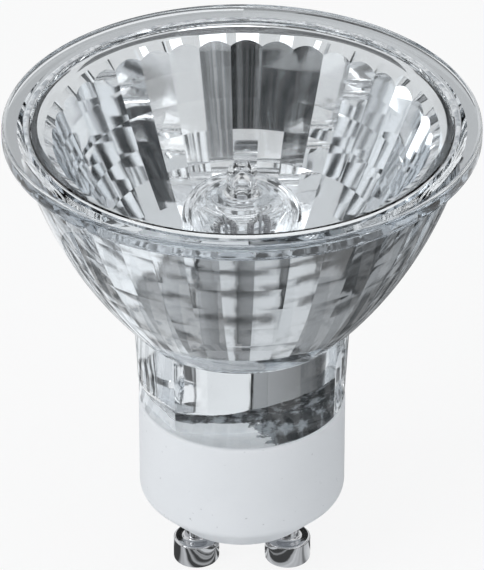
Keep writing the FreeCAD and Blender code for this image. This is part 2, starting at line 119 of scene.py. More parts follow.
class Bench:
    """The node tree of one material or of the world."""

    # Where most of a cloudy value lies
    USUAL_CLOUD = (0.3, 0.7)

    def __init__(self, tree: bpy.types.NodeTree) -> None:
        """Start with an empty tree."""
        tree.nodes.clear()
        self.tree = tree

    def add(self, kind: str, settings: Mapping[str, Any] | None = None,
            inputs: Mapping[str | int, Any] | None = None) -> bpy.types.Node:
        """Add a node, set it up and fill its sockets.

        Args:
            kind: the node's type.
            settings: attributes to set first.
            inputs: values or Wires by socket name or number.

        Returns:
            The new node.
        """
        made = self.tree.nodes.new(kind)
        for name, value in (settings or {}).items():
            setattr(made, name, value)
        for name, value in (inputs or {}).items():
            if isinstance(value, Wire):
                self.tree.links.new(value.socket, made.inputs[name])
            else:
                made.inputs[name].default_value = value
        return made

    def wire(self, kind: str, settings: Mapping[str, Any] | None = None,
             inputs: Mapping[str | int, Any] | None = None, output: str | int = 0) -> Wire:
        """Add a node and return one of its outputs."""
        return Wire(self, self.add(kind, settings, inputs).outputs[output])

    def spot(self) -> Wire:
        """Return the point on the piece, in metres of the model's frame."""
        return self.wire("ShaderNodeTexCoord", output="Object")

    def parts(self) -> tuple[Wire, ...]:
        """Return the X, Y and Z of the point on the piece."""
        made = self.add("ShaderNodeSeparateXYZ", None, {0: self.spot()})
        return tuple(Wire(self, part) for part in made.outputs)

    def bearing(self, hub: float = 0.0) -> Wire:
        """Return the point's bearing from the camera's side, round a hub this far behind the axis."""
        across, deep, _ = self.parts()
        return across.angle(hub * MM - deep)

    def vector(self, operation: str, first: Any, second: Any = (0.0, 0.0, 0.0)) -> Wire:
        """Return the outcome of a Vector Math node."""
        return self.wire("ShaderNodeVectorMath", {"operation": operation}, {0: first, 1: second})

    def stretched(self, vector: Wire, scale: Spot) -> Wire:
        """Return a vector with each part multiplied."""
        return self.vector("MULTIPLY", vector, scale)

    def rounded(self, radius: float, slow: float) -> Wire:
        """Return the point laid on a cylinder round the axis, so that clouds become upright streaks.

        Args:
            radius: radius of the cylinder in millimetres.
            slow: how much of the height is kept; a small part makes long streaks.

        Returns:
            The point to read a noise at.
        """
        spot = self.spot()
        unit = self.vector("NORMALIZE", self.stretched(spot, (1.0, 1.0, 0.0)))
        on_wall = self.stretched(unit, (radius * MM, radius * MM, 0.0))
        return self.vector("ADD", on_wall, self.stretched(spot, (0.0, 0.0, slow)))

    def grain(self, size: float, detail: float = 3.0, rough: float = 0.5,
              where: Wire | None = None) -> Wire:
        """Return a cloudy value of about 0 to 1.

        Args:
            size: width of one cloud in millimetres.
            detail: octaves of finer clouds.
            rough: strength of the finer clouds.
            where: the point that is read, if not the piece's own.

        Returns:
            The noise value.
        """
        return self.wire("ShaderNodeTexNoise", {"noise_dimensions": "3D"}, {
            "Vector": where or self.spot(), "Scale": 1.0 / (size * MM), "Detail": detail,
            "Roughness": rough})

    def uneven(self, along: Wire, pace: float = 1.0) -> Wire:
        """Return a value of about 0 to 1 that wanders along a line."""
        return self.wire("ShaderNodeTexNoise", {"noise_dimensions": "1D"}, {
            "W": along, "Scale": pace, "Detail": 2.0})

    def spread(self, value: Wire, low: float, high: float, to_low: float, to_high: float) -> Wire:
        """Return value moved from low..high to to_low..to_high, held at the ends."""
        return self.wire("ShaderNodeMapRange", {"clamp": True}, {
            "Value": value, "From Min": low, "From Max": high, "To Min": to_low, "To Max": to_high})

    def usual(self, cloud: Wire, to_low: float, to_high: float) -> Wire:
        """Return the usual range of a cloudy value moved to to_low..to_high."""
        return self.spread(cloud, *self.USUAL_CLOUD, to_low, to_high)

    def past(self, value: Wire, edge: float, soft: float) -> Wire:
        """Return 0 below an edge and 1 above it, going over softly on both sides of it."""
        return self.spread(value, edge - soft, edge + soft, 0.0, 1.0)

    def tinted(self, share: Wire, first: Wire | Colour, second: Wire | Colour) -> Wire:
        """Return a colour between first and second.

        Args:
            share: 0 for first, 1 for second.
            first: linear colour, plain or a Wire.
            second: linear colour, plain or a Wire.

        Returns:
            The mixed colour.
        """
        start, end = (each if isinstance(each, Wire) else (*each, 1.0) for each in (first, second))
        return self.wire("ShaderNodeMix", {"data_type": "RGBA"}, {0: share, 6: start, 7: end}, 2)

    def dimmed(self, share: Wire, tint: Colour, tone: float) -> Wire:
        """Return a tint that falls to a part of itself, tone, where share is 1."""
        return self.tinted(share, tint, tuple(tone * part for part in tint))

    def relief(self, height: Wire, depth: float) -> Wire:
        """Return a normal raised by height, 1 standing depth millimetres proud."""
        return self.wire("ShaderNodeBump", None, {
            "Strength": 1.0, "Distance": depth * MM, "Height": height})

    def surface(self, inputs: Mapping[str | int, Any]) -> Wire:
        """Return a Principled shader with these sockets filled."""
        return self.wire("ShaderNodeBsdfPrincipled", None, inputs)

    def light(self, colour: Colour, strength: float = 1.0, kind: str = "ShaderNodeEmission") -> Wire:
        """Return a shader that glows evenly."""
        return self.wire(kind, None, {"Color": (*colour, 1.0), "Strength": strength})

    def either(self, share: Wire | float, first: Wire, second: Wire) -> Wire:
        """Return a mix of two shaders, share being the part of the second."""
        return self.wire("ShaderNodeMixShader", None, {0: share, 1: first, 2: second})

    def ray(self, name: str) -> Wire:
        """Return one output of the Light Path node."""
        return self.wire("ShaderNodeLightPath", output=name)

    def show(self, shader: Wire, kind: str = "ShaderNodeOutputMaterial") -> None:
        """Connect a shader to the tree's output."""
        self.add(kind, None, {"Surface": shader})


@dataclass(frozen=True)
class Finish:
    """A finish that is made into one material."""

    name: str

    def shader(self, bench: Bench) -> Wire:
        """Return the finish's shader; each kind of finish has its own."""
        raise NotImplementedError(self.name)

    def material(self) -> bpy.types.Material:
        """Return the material of this finish, made the first time it is asked for.

        Returns:
            The material.
        """
        found = bpy.data.materials.get(self.name)
        if found is not None:
            return found
        made = bpy.data.materials.new(self.name)
        made.use_nodes = True
        bench = Bench(made.node_tree)
        bench.show(self.shader(bench))
        return made


@dataclass(frozen=True)
class ClearGlass(Finish):
    """Clear glass with a faint ripple, which lets lamplight through to what is behind it."""

    tint: Colour = (0.93, 0.96, 0.98)
    bend: float = 1.5
    haze: float = 0.0
    streak_haze: float = 0.02
    streak_tone: float = 0.98
    streak_ripples: float = 4.0
    ripple_size: float = 3.0
    ripple_depth: float = 0.01

    def shader(self, bench: Bench) -> Wire:
        """Return the glass.

        Args:
            bench: the tree that the nodes go on.

        Returns:
            The shader.
        """
        ripple = bench.grain(self.ripple_size, 2.0)
        streak = bench.grain(self.ripple_size * self.streak_ripples, 2.0)
        clear = bench.surface({
            "Base Color": bench.dimmed(streak, self.tint, self.streak_tone),
            "Roughness": bench.spread(streak, 0.3, 0.8, self.haze, self.haze + self.streak_haze),
            "IOR": self.bend, "Transmission Weight": 1.0,
            "Normal": bench.relief(ripple, self.ripple_depth)})
        through = bench.wire("ShaderNodeBsdfTransparent", None, {"Color": (*self.tint, 1.0)})
        return bench.either(bench.ray("Is Shadow Ray"), clear, through)


@dataclass(frozen=True)
class MirrorFilm(Finish):
    """Bright metal film on pressed glass, with the ripple of the glass under it."""

    tint: Colour = (0.885, 0.9, 0.915)
    dull_tone: float = 0.93
    haze: float = 0.02
    cloud_haze: float = 0.04
    cloud_size: float = 5.0
    ripple_size: float = 2.4
    ripple_depth: float = 0.002
    streak_size: float = 0.8
    streak_depth: float = 0.001
    streak_radius: float = 16.0
    streak_slow: float = 0.08

    def shader(self, bench: Bench) -> Wire:
        """Return the film.

        Args:
            bench: the tree that the nodes go on.

        Returns:
            The shader.
        """
        cloud = bench.grain(self.cloud_size)
        ripple = bench.grain(self.ripple_size, 2.0)
        on_wall = bench.rounded(self.streak_radius, self.streak_slow)
        streak = bench.grain(self.streak_size, 2.0, where=on_wall)
        height = ripple * (self.ripple_depth / self.streak_depth) + streak
        return bench.surface({
            "Base Color": bench.dimmed(cloud, self.tint, self.dull_tone),
            "Metallic": 1.0,
            "Roughness": bench.spread(cloud, 0.35, 0.75, self.haze, self.haze + self.cloud_haze),
            "Normal": bench.relief(height, self.streak_depth)})


@dataclass(frozen=True)
class Ceramic(Finish):
    """Pressed white ceramic, matt with a soft sheen and few dark specks."""

    tint: Colour = (0.925, 0.95, 0.98)
    speck: Colour = (0.45, 0.47, 0.49)
    dull_tone: float = 0.93
    dull_share: float = 0.35
    haze: Flat = (0.42, 0.55)
    cloud_size: float = 4.0
    grain_size: float = 0.16
    speck_size: float = 0.5
    soak: float = 1.0
    depth: float = 0.012

    def shader(self, bench: Bench) -> Wire:
        """Return the ceramic.

        Args:
            bench: the tree that the nodes go on.

        Returns:
            The shader.
        """
        cloud = bench.grain(self.cloud_size, 4.0)
        fine = bench.grain(self.grain_size, 2.0)
        specked = bench.spread(bench.grain(self.speck_size, 1.0), 0.74, 0.78, 0.0, 0.5)
        body = bench.dimmed(bench.usual(cloud, 0.0, self.dull_share), self.tint, self.dull_tone)
        return bench.surface({
            "Base Color": bench.tinted(specked, body, self.speck),
            "Roughness": bench.usual(cloud, *self.haze),
            "Subsurface Weight": 0.15, "Subsurface Radius": (self.soak * MM,) * 3,
            "Subsurface Scale": 0.6,
            "Normal": bench.relief(fine * 0.5 + cloud * 0.5, self.depth)})


@dataclass(frozen=True)
class Cement(Finish):
    """Crumbly cement, pale where it touches the glass, with painted shade in the hollow beside that."""

    pale: Colour = (0.97, 0.98, 0.99)
    dull: Colour = (0.9, 0.92, 0.94)
    fleck: Colour = (0.4, 0.42, 0.44)
    # Painted shade: near-black tone for the cement in the hollow away from the glass contact, with paler
    # flecks
    hollow: Colour = (0.03, 0.033, 0.036)
    edge_across: float = 1.6
    edge_height: float = 22.9
    edge_width: float = 3.0
    edge_soft: float = 0.05
    ragged_size: float = 1.8
    ragged_side: float = 2.2
    lump_size: float = 1.3
    grit_size: float = 0.25
    haze: Flat = (0.75, 0.95)
    depth: float = 0.12

    def touching(self, bench: Bench) -> Wire:
        """Return 1 where the cement touches the glass; where it is 0, the cement's own shader paints shade.

        Args:
            bench: the tree that the nodes go on.

        Returns:
            The mask.
        """
        across, deep, height = bench.parts()
        ragged = bench.grain(self.ragged_size, 5.0, 0.6) - 0.5
        side = (self.edge_across * MM - across - deep * 0.5) * (1.0 / (self.edge_width * MM))
        below = (self.edge_height * MM - height) * (1.0 / MM)
        return (bench.past(side + ragged * self.ragged_side, 1.0, self.edge_soft)
                * bench.past(below + ragged, 0.0, self.edge_soft))

    def shader(self, bench: Bench) -> Wire:
        """Return the cement.

        Args:
            bench: the tree that the nodes go on.

        Returns:
            The shader.
        """
        lump = bench.grain(self.lump_size, 5.0, 0.65)
        grit = bench.grain(self.grit_size)
        touched = bench.tinted(bench.spread(lump, 0.35, 0.62, 1.0, 0.0), self.pale, self.dull)
        # Painted shade: away from the contact the cement is painted near-black with paler flecks, as if in
        # shadow
        shaded = bench.tinted(bench.past(lump, 0.56, 0.06), self.hollow, self.fleck)
        return bench.surface({
            "Base Color": bench.tinted(self.touching(bench), shaded, touched),
            "Roughness": bench.usual(grit, *self.haze),
            "Normal": bench.relief(lump * 0.7 + grit * 0.3, self.depth)})


@dataclass(frozen=True)
class CementContact(Finish):
    """Glass face on the cement: wetted white in patches, clear where the cement draws back."""

    glass: ClearGlass
    cement: Cement

    def shader(self, bench: Bench) -> Wire:
        """Return the patched face."""
        return bench.either(
            self.cement.touching(bench), self.glass.shader(bench), self.cement.shader(bench))


@dataclass(frozen=True)
class NeckFilm(Finish):
    """Wall of the neck hole: mirror film down to a wavering edge, cement contact below it."""

    film: MirrorFilm
    contact: CementContact
    edge_height: float = 23.9
    edge_soft: float = 0.05
    edge_rise: float = 2.2
    rise_start: float = -1.5
    rise_end: float = 8.0
    waver_size: float = 3.0
    waver_height: float = 0.9

    def shader(self, bench: Bench) -> Wire:
        """Return the wall, the film's edge rising to the right.

        Args:
            bench: the tree that the nodes go on.

        Returns:
            The shader.
        """
        across, _, height = bench.parts()
        waver = bench.grain(self.waver_size, 4.0, 0.6) - 0.5
        rise = bench.spread(across, self.rise_start * MM, self.rise_end * MM, 0.0, self.edge_rise)
        above = height * (1.0 / MM) + waver * self.waver_height - rise
        coated = bench.past(above, self.edge_height, self.edge_soft)
        return bench.either(coated, self.contact.shader(bench), self.film.shader(bench))


@dataclass(frozen=True)
class Silicone(Finish):
    """Greyish bead of set sealant with a grainy skin."""

    pale: Colour = (0.84, 0.86, 0.88)
    dull: Colour = (0.46, 0.49, 0.52)
    patch_size: float = 1.1
    patch_soft: float = 0.08
    grit_size: float = 0.3
    haze: Flat = (0.3, 0.6)
    depth: float = 0.08

    def shader(self, bench: Bench) -> Wire:
        """Return the sealant.

        Args:
            bench: the tree that the nodes go on.

        Returns:
            The shader.
        """
        patch = bench.grain(self.patch_size, 4.0, 0.65)
        grit = bench.grain(self.grit_size, 2.0)
        return bench.surface({
            "Base Color": bench.tinted(bench.past(patch, 0.5, self.patch_soft), self.pale, self.dull),
            "Roughness": bench.usual(grit, *self.haze),
            "Normal": bench.relief(patch * 0.6 + grit * 0.4, self.depth)})


@dataclass(frozen=True)
class PlatedMetal(Finish):
    """Plated or drawn metal with fine marks along one direction."""

    tint: Colour = (0.64, 0.65, 0.67)
    dull_tone: float = 0.85
    cloud_size: float = 1.5
    haze: float = 0.06
    mark_haze: float = 1.8
    marks: Spot = (1.0, 1.0, 0.15)
    mark_size: float = 0.5
    mark_depth: float = 0.004

    def shader(self, bench: Bench) -> Wire:
        """Return the metal.

        Args:
            bench: the tree that the nodes go on.

        Returns:
            The shader.
        """
        drawn = bench.grain(self.mark_size, 3.0, 0.6, bench.stretched(bench.spot(), self.marks))
        cloud = bench.grain(self.cloud_size)
        return bench.surface({
            "Base Color": bench.dimmed(cloud, self.tint, self.dull_tone),
            "Metallic": 1.0,
            "Roughness": bench.usual(drawn, self.haze, self.haze * self.mark_haze),
            "Normal": bench.relief(drawn, self.mark_depth)})


PRESSED_GLASS = ClearGlass("pressed_glass", ripple_size=4.0, ripple_depth=0.012)
SHEET_GLASS = ClearGlass("sheet_glass", tint=(0.97, 0.98, 0.985), ripple_size=12.0, ripple_depth=0.004)
QUARTZ = ClearGlass("clear_quartz", (0.98, 0.985, 0.99), 1.46, ripple_size=2.5, ripple_depth=0.006)
FILM = MirrorFilm("mirror_film")
CEMENT = Cement("set_cement")
CONTACT = CementContact("cement_contact", PRESSED_GLASS, CEMENT)
NECK_FILM = NeckFilm("neck_film", FILM, CONTACT)
CERAMIC = Ceramic("white_ceramic")
SEALANT = Silicone("sealant")
NICKEL = PlatedMetal("nickel_plate")
DRAWN_WIRE = PlatedMetal("drawn_wire", tint=(0.55, 0.56, 0.58), haze=0.25, mark_size=0.15)
TUNGSTEN = PlatedMetal("coil_wire", tint=(0.5, 0.5, 0.52), haze=0.35, mark_size=0.1)


class Shaping:
    """Points and faces of one piece while it is shaped, in millimetres."""

    def __init__(self) -> None:
        """Start with nothing."""
        self.points: list[Spot] = []
        self.faces: list[tuple[int, ...]] = []
        self.finishes: list[int] = []

    def ring(self, points: Iterable[Spot]) -> list[int]:
        """Add a ring of points.

        Args:
            points: the points in order.

        Returns:
            The points' numbers.
        """
        first = len(self.points)
        self.points.extend(points)
        return list(range(first, len(self.points)))

    def face(self, corners: Sequence[int], finish: int = 0) -> None:
        """Add one face."""
        self.faces.append(tuple(corners))
        self.finishes.append(finish)

    def strip(self, lower: Sequence[int], upper: Sequence[int], finish: int = 0) -> None:
        """Join two rings of as many points, faces turned outwards when upper is the higher.

        Args:
            lower: numbers of the lower ring, counter-clockwise seen from above.
            upper: numbers of the upper ring.
            finish: which of the piece's finishes the strip has.
        """
        count = len(lower)
        for index in range(count):
            ahead = (index + 1) % count
            self.face((lower[index], lower[ahead], upper[ahead], upper[index]), finish)

    def stack(self, rings: Sequence[Sequence[int]], finish: int = 0) -> None:
        """Join each ring to the next one."""
        for lower, upper in zip(rings, rings[1:]):
            self.strip(lower, upper, finish)

    def closed(self, rings: Sequence[Sequence[int]], finish: int = 0) -> None:
        """Join each ring to the next one, and close the first and the last.

        Args:
            rings: numbers of the rings, from the lower end along the outside to the upper end.
            finish: which of the piece's finishes the faces have.
        """
        self.stack(rings, finish)
        self.face(rings[0][::-1], finish)
        self.face(rings[-1], finish)

    def turned(self, outline: Iterable[Flat], bearings: Sequence[float],
               across: float = 0.0) -> list[list[int]]:
        """Add a turned outline's rings and return their numbers.

        Args:
            outline: radius and height of each ring.
            bearings: bearings of the points in radians.
            across: how far from the axis the rings stand, along X.

        Returns:
            The rings' numbers, in the outline's order.
        """
        return [self.ring((across + radius * math.cos(bearing), radius * math.sin(bearing), height)
                          for bearing in bearings) for radius, height in outline]

    def piece(self, name: str, finishes: Sequence[Finish]) -> bpy.types.Object:
        """Return the shape as an object with its finishes.

        Args:
            name: the object's name.
            finishes: the finishes that the faces' numbers stand for.

        Returns:
            The new object, smooth shaded.
        """
        mesh = bpy.data.meshes.new(name)
        mesh.from_pydata([tuple(part * MM for part in point) for point in self.points], [], self.faces)
        for finish in finishes:
            mesh.materials.append(finish.material())
        mesh.polygons.foreach_set("material_index", self.finishes)
        mesh.polygons.foreach_set("use_smooth", [True] * len(self.faces))
        mesh.update()
        made = bpy.data.objects.new(name, mesh)
        bpy.context.scene.collection.objects.link(made)
        return made


def arc(start: Flat, end: Flat, radius: float, steps: int, hollow: bool = False) -> list[Flat]:
    """Return points along a short arc, without its start.

    Args:
        start: first point.
        end: last point.
        radius: radius of the arc.
        steps: pieces that it is divided into.
        hollow: True to bulge left of travel, False to bulge right.

    Returns:
        The points after start, end included.
    """
    chord = Vector(end) - Vector(start)
    side = Vector((-chord.y, chord.x)).normalized() * (-1.0 if hollow else 1.0)
    lift = math.sqrt(max(radius * radius - chord.length_squared / 4.0, 0.0))
    centre = (Vector(start) + Vector(end)) / 2.0 + side * lift
    first = Vector(start) - centre
    sweep = first.angle_signed(Vector(end) - centre)
    points = []
    for step in range(1, steps + 1):
        turn = -sweep * step / steps
        cosine, sine = math.cos(turn), math.sin(turn)
        points.append((centre.x + first.x * cosine - first.y * sine,
                       centre.y + first.x * sine + first.y * cosine))
    return points


def run(start: Flat, end: Flat, steps: int) -> list[Flat]:
    """Return points along a straight run, without its start."""
    return [(start[0] + (end[0] - start[0]) * step / steps,
             start[1] + (end[1] - start[1]) * step / steps) for step in range(1, steps + 1)]


def even_bearings(count: int) -> list[float]:
    """Return bearings that divide a turn evenly, in radians."""
    return [2.0 * math.pi * index / count for index in range(count)]


def worked(body: bpy.types.Object, tool: bpy.types.Object, fit: Fit) -> None:
    """Work one closed mesh against another and do away with the tool.

    Args:
        body: the piece that is kept.
        tool: the piece that is taken out of it or joined to it.
        fit: which of the two.
    """
    step = body.modifiers.new("worked", "BOOLEAN")
    step.operation = fit.value
    step.solver = "EXACT"
    step.material_mode = "INDEX"
    step.object = tool
    graph = bpy.context.evaluated_depsgraph_get()
    mesh = bpy.data.meshes.new_from_object(
        body.evaluated_get(graph), preserve_all_data_layers=True, depsgraph=graph)
    body.modifiers.clear()
    old = body.data
    body.data = mesh
    bpy.data.meshes.remove(old)
    mesh.name = body.name
    bpy.data.objects.remove(tool)


def crisp(piece: bpy.types.Object, angle: float, fine_angle: float = 180.0, finish: int = -1) -> None:
    """Mark the edges of a piece that are seen as edges.

    Args:
        piece: the piece.
        angle: degrees from which two faces meet in an edge.
        fine_angle: the same in one finish of fine facets, whose level edges are all crisp.
        finish: the number of that finish.
    """
    shape = bmesh.new()
    shape.from_mesh(piece.data)
    for edge in shape.edges:
        if len(edge.link_faces) != 2:
            continue
        meet = math.degrees(edge.calc_face_angle(0.0))
        limit = angle
        if all(face.material_index == finish for face in edge.link_faces):
            low, high = (corner.co.z for corner in edge.verts)
            limit = 0.0 if abs(high - low) < SAME_LEVEL else fine_angle
        edge.smooth = meet < limit
    shape.to_mesh(piece.data)
    shape.free()


def fitted(piece: bpy.types.Object, slot: str, *nodes: str) -> None:
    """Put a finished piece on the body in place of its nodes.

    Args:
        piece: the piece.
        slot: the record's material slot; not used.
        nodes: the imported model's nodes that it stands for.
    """
    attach(piece, "root")
    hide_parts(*nodes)
    log.info("%s stands for %s", piece.name, ", ".join(nodes))


@dataclass
class NeckHole:
    """Rectangular hole through the neck, turned a little against the pins, and the pinch in it."""

    length: float = 15.4
    width: float = 10.0
    turn: float = 12.5
    pinch: Flat = (10.6, 3.2)
    pinch_low: float = 15.6

    def place(self, along: float, deep: float, height: float) -> Spot:
        """Return the frame's point for a point of the hole.

        Args:
            along: distance from the axis along the hole.
            deep: distance from the axis across the hole.
            height: the point's height.

        Returns:
            The point.
        """
        turn = math.radians(self.turn)
        cosine, sine = math.cos(turn), math.sin(turn)
        return (along * cosine - deep * sine, along * sine + deep * cosine, height)

    def block(self, name: str, length: float, width: float, low: float, high: float,
              finishes: Sequence[Finish], finish: int = 0) -> bpy.types.Object:
        """Return a plain block that lies along the hole.

        Args:
            name: the object's name.
            length: size along the hole.
            width: size across the hole.
            low: lower end.
            high: upper end.
            finishes: the piece's finishes.
            finish: which of them the block has.

        Returns:
            The block.
        """
        shape = Shaping()
        corners = [(-length / 2, -width / 2), (length / 2, -width / 2),
                   (length / 2, width / 2), (-length / 2, width / 2)]
        rings = [shape.ring(self.place(*corner, level) for corner in corners) for level in (low, high)]
        shape.closed(rings, finish)
        made = shape.piece(name, finishes)
        made.data.polygons.foreach_set("use_smooth", [False] * len(made.data.polygons))
        return made


@dataclass
class Reflector:
    """Pressed glass reflector: flange, bowl and neck, with the fluted mirror inside."""

    hole: NeckHole
    rim_radius: float = 24.99
    rim_top: float = 55.6
    rim_under: float = 53.75
    rim_round: float = 0.5
    bowl_mouth_radius: float = 23.39
    bowl_curve: float = 49.8
    neck_top: Flat = (11.55, 31.6)
    neck_foot: Flat = (11.05, 21.6)
    neck_foot_round: float = 0.35
    seat_radius: float = 22.75
    seat_level: float = 54.1
    ledge_radius: float = 21.9
    ring_radius: float = 20.6
    ring_level: float = 53.6
    mirror_mouth_radius: float = 20.0
    mirror_floor_radius: float = 8.2
    mirror_floor: float = 32.0
    hole_top: float = 34.0
    flutes: int = 36
    rows: int = 7
    flute_sag: float = 0.01
    arch_top_drop: float = 0.4
    arch_foot_drop: float = 1.02
    flute_turn: float = -1.4
    flute_steps: int = 16
    edge_angle: float = 24.0
    fine_edge_angle: float = 2.8

    GLASS, FILM, NECK, CONTACT = range(4)

    def flute_ring(self, ridge: float) -> list[Flat]:
        """Return the scalloped section of the mirror at one level.

        Args:
            ridge: radius of the ridges between the flutes.

        Returns:
            The points' X and Y, counter-clockwise.
        """
        half = math.pi / self.flutes
        half_chord = math.sin(half)
        sag = self.flute_sag * 2.0 * half_chord
        radius = (half_chord ** 2 + sag ** 2) / (2.0 * sag)
        centre = math.cos(half) + sag - radius
        spread = math.asin(half_chord / radius)
        points = []
        for flute in range(self.flutes):
            middle = math.radians(self.flute_turn) + 2.0 * half * flute
            cosine, sine = math.cos(middle) * ridge, math.sin(middle) * ridge
            for step in range(self.flute_steps):
                turn = spread * (2.0 * step / self.flute_steps - 1.0)
                x, y = centre + radius * math.cos(turn), radius * math.sin(turn)
                points.append((x * cosine - y * sine, x * sine + y * cosine))
        return points

    def row_levels(self) -> list[float]:
        """Return the heights at which the straight rows of the flutes meet."""
        rise = self.ring_level - self.mirror_floor
        return [self.mirror_floor + rise * row / self.rows for row in range(self.rows + 1)]

    def ridge_radius(self, height: float) -> float:
        """Return the radius of the flute ridges where rows meet.

        Args:
            height: level at which the rows meet.

        Returns:
            The radius.
        """
        share = (height - self.mirror_floor) / (self.ring_level - self.mirror_floor)
        low, high = self.mirror_floor_radius ** 2, self.mirror_mouth_radius ** 2
        return math.sqrt(low + (high - low) * share)

    def outside(self) -> list[Flat]:
        """Return the outline from the foot of the neck round the flange to the recess.

        Returns:
            Radius and height of its points.
        """
        foot_radius, foot = self.neck_foot
        curl = self.neck_foot_round
        edge = self.rim_round
        line = [(foot_radius - curl, foot)]
        line += arc(line[-1], (foot_radius, foot + curl), curl, 4)
        line += run(line[-1], self.neck_top, 5)
        line += arc(line[-1], (self.bowl_mouth_radius, self.rim_under), self.bowl_curve, 24)
        line += run(line[-1], (self.rim_radius - edge, self.rim_under), 2)
        line += arc(line[-1], (self.rim_radius, self.rim_under + edge), edge, 6)
        line += run(line[-1], (self.rim_radius, self.rim_top - edge), 2)
        line += arc(line[-1], (self.rim_radius - edge, self.rim_top), edge, 6)
        line += run(line[-1], (self.seat_radius, self.rim_top), 3)
        line += run(line[-1], (self.seat_radius, self.seat_level), 2)
        return line

    def arches(self) -> list[Spot]:
        """Return the arched top line of the flutes, which the bevel under the ring comes down to.

        Returns:
            The line's points, counter-clockwise.
        """
        low, high = self.row_levels()[-2:]
        lower = self.flute_ring(self.ridge_radius(low))
        upper = self.flute_ring(self.ridge_radius(high))
        points = []
        for number, (start, end) in enumerate(zip(lower, upper)):
            across = 2.0 * (number % self.flute_steps) / self.flute_steps - 1.0
            drop = self.arch_top_drop + (self.arch_foot_drop - self.arch_top_drop) * across ** 2
            share = 1.0 - drop / (high - low)
            x, y = (a + (b - a) * share for a, b in zip(start, end))
            points.append((x, y, high - drop))
        return points

    def build(self) -> None:
        """Build the reflector."""
        bearings = [math.atan2(y, x) for x, y in self.flute_ring(1.0)]
        shape = Shaping()
        outside = shape.turned(self.outside(), bearings)
        shape.stack(outside, self.GLASS)
        shape.face(outside[0][::-1], self.CONTACT)
        ledge, ring = shape.turned(
            [(self.ledge_radius, self.seat_level), (self.ring_radius, self.ring_level)], bearings)
        shape.strip(outside[-1], ledge, self.GLASS)
        shape.strip(ledge, ring, self.FILM)
        above = shape.ring(self.arches())
        shape.strip(ring, above, self.FILM)
        for level in self.row_levels()[-2::-1]:
            below = shape.ring((x, y, level) for x, y in self.flute_ring(self.ridge_radius(level)))
            shape.strip(above, below, self.FILM)
            above = below
        shape.face(above, self.FILM)
        finishes = (PRESSED_GLASS, FILM, NECK_FILM, CONTACT)
        body = shape.piece("reflector_glass", finishes)
        drill = self.hole.block("hole_drill", self.hole.length, self.hole.width,
                                self.neck_foot[1] - DRILL_REACH, self.hole_top, finishes, self.NECK)
        worked(body, drill, Fit.TAKEN_OUT)
        crisp(body, self.edge_angle, self.fine_edge_angle, self.FILM)
        fitted(body, "reflector_glass", "reflector")


@dataclass
class FrontGlass:
    """Flat cover glass and the bead of sealant round it."""

    recess_radius: float
    radius: float = 22.15
    low: float = 54.12
    high: float = 55.3
    bevel: float = 0.15
    inner_shares: tuple[float, ...] = (0.25, 0.5, 0.75)
    edge_angle: float = 24.0
    gap: float = 0.02
    bead_height: float = 55.12
    bead_swell: float = 0.16
    swell_pace: float = 26.0
    bead_lean: float = 0.15
    lean_pace: float = 18.0
    bead_calm: float = 0.8
    bead_round: float = 0.08
    bead_edge_angle: float = 50.0
    steps: int = 192

    def build_glass(self) -> None:
        """Build the cover glass."""
        edge = self.bevel
        line = [(self.radius * share, self.low) for share in self.inner_shares]
        line += [(self.radius - edge, self.low), (self.radius, self.low + edge)]
        line += [(self.radius, self.high - edge), (self.radius - edge, self.high)]
        line += [(self.radius * share, self.high) for share in self.inner_shares[::-1]]
        shape = Shaping()
        shape.closed(shape.turned(line, even_bearings(self.steps)))
        piece = shape.piece("front_glass", (SHEET_GLASS,))
        crisp(piece, self.edge_angle)
        fitted(piece, "cover_glass", "cover_glass")

    def bead_section(self, bearing: float) -> list[Spot]:
        """Return the points round the bead at one bearing.

        Args:
            bearing: the bearing in radians.

        Returns:
            The points, from the inner foot over the outside.
        """
        inner, outer = self.radius + self.gap, self.recess_radius - self.gap
        foot = self.low + self.gap
        unit = Vector((math.cos(bearing), math.sin(bearing), 0.0))
        swell = noise.fractal(unit * self.swell_pace, self.bead_calm, FINER, 4) * self.bead_swell
        lean_spot = unit * self.lean_pace + Vector((5.0, 0.0, 0.0))
        lean = noise.fractal(lean_spot, self.bead_calm, FINER, 3) * self.bead_lean
        top = min(self.bead_height + swell, self.high - self.gap)
        middle = inner + (outer - inner) * (0.5 + lean)
        outline = [(inner, foot), (outer, foot), (outer, top - 0.1), (outer - self.bead_round, top - 0.01),
                   (middle, top + 0.03), (inner + self.bead_round, top - 0.05), (inner, top - 0.16),
                   (inner, self.low + 0.5)]
        return [(radius * unit.x, radius * unit.y, height) for radius, height in outline]

    def build_bead(self) -> None:
        """Build the bead, uneven along its length."""
        shape = Shaping()
        sections = [self.bead_section(bearing) for bearing in even_bearings(self.steps * 4)]
        rings = [shape.ring(points) for points in zip(*sections)]
        shape.stack(rings + [rings[0]])
        piece = shape.piece("sealant_bead", (SEALANT,))
        crisp(piece, self.bead_edge_angle)
        fitted(piece, "silicone", "cover_seal")


